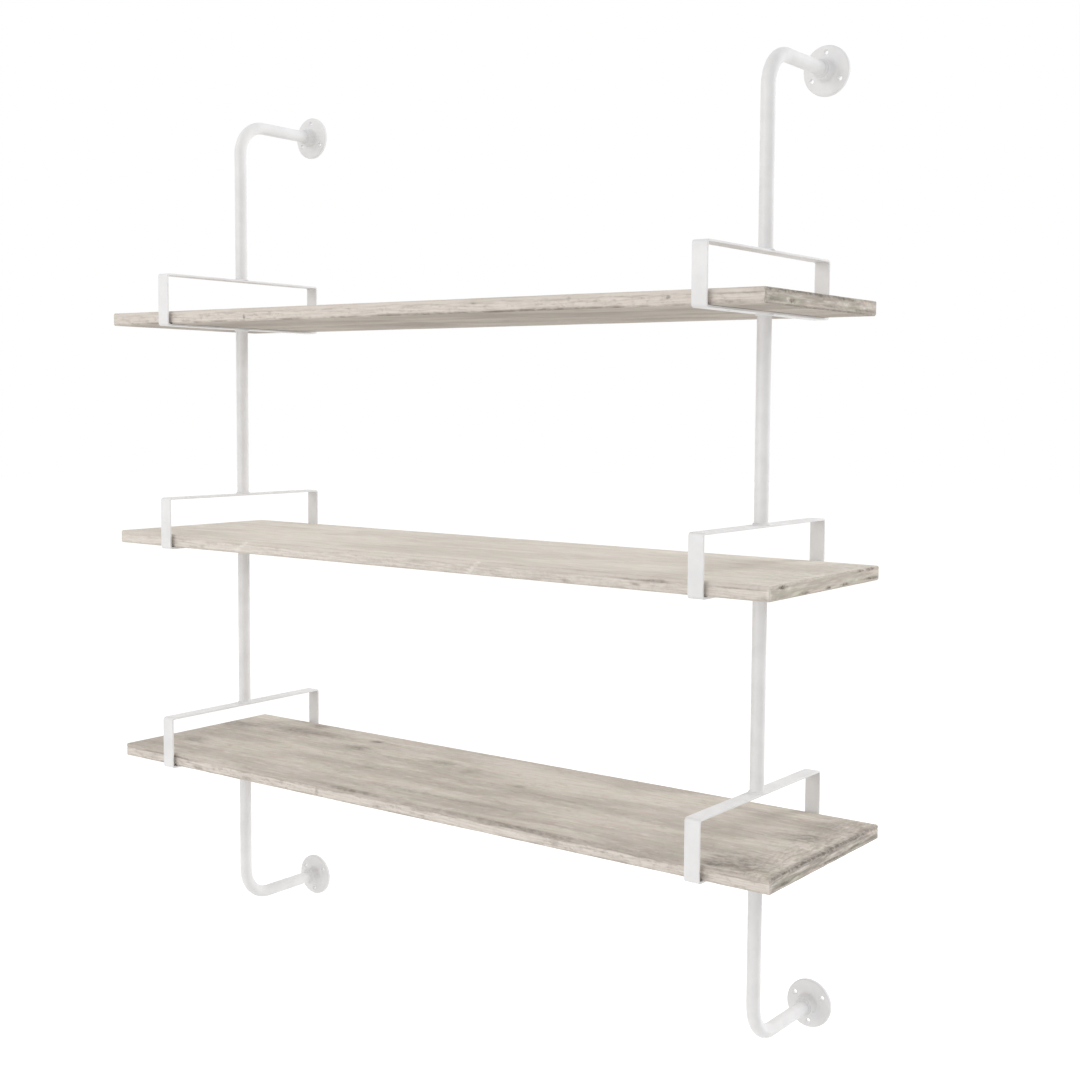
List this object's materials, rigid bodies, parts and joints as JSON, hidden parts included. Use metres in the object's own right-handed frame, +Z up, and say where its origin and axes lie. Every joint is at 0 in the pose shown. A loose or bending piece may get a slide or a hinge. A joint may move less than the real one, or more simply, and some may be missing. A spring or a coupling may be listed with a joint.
{
  "type": "wall shelf",
  "caption": "Wall shelf with weathered wooden boards held in flat bar loops on two tube posts, whose bent hooks end in round wall flanges.",
  "frame": {"origin": "on the wall, midway between the four wall flanges", "axes": "+X to the right for someone who faces the wall, +Y into the wall, +Z up"},
  "size_m": [1.219, 0.321, 1.354],
  "materials": {
    "white_powder_coat": "satin white powder coat on steel",
    "weathered_board": "whitewashed, brushed and worn softwood",
    "zinc_screw": "zinc plated"
  },
  "bodies": {
    "root": {"shelf_board_top": "weathered_board", "board_screws_top": "zinc_screw", "shelf_board_middle": "weathered_board", "board_screws_middle": "zinc_screw", "shelf_board_bottom": "weathered_board", "board_screws_bottom": "zinc_screw", "shelf_loop_left_top": "white_powder_coat", "weld_beads_left_top": "white_powder_coat", "shelf_loop_left_middle": "white_powder_coat", "weld_beads_left_middle": "white_powder_coat", "shelf_loop_left_bottom": "white_powder_coat", "weld_beads_left_bottom": "white_powder_coat", "post_tube_left_upper": "white_powder_coat", "post_tube_left_lower": "white_powder_coat", "hook_tube_left_top": "white_powder_coat", "wall_flange_left_top": "white_powder_coat", "flange_weld_left_top": "white_powder_coat", "hook_tube_left_bottom": "white_powder_coat", "wall_flange_left_bottom": "white_powder_coat", "flange_weld_left_bottom": "white_powder_coat", "shelf_loop_right_top": "white_powder_coat", "weld_beads_right_top": "white_powder_coat", "shelf_loop_right_middle": "white_powder_coat", "weld_beads_right_middle": "white_powder_coat", "shelf_loop_right_bottom": "white_powder_coat", "weld_beads_right_bottom": "white_powder_coat", "post_tube_right_upper": "white_powder_coat", "post_tube_right_lower": "white_powder_coat", "hook_tube_right_top": "white_powder_coat", "wall_flange_right_top": "white_powder_coat", "flange_weld_right_top": "white_powder_coat", "hook_tube_right_bottom": "white_powder_coat", "wall_flange_right_bottom": "white_powder_coat", "flange_weld_right_bottom": "white_powder_coat"}
  },
  "joints": []
}
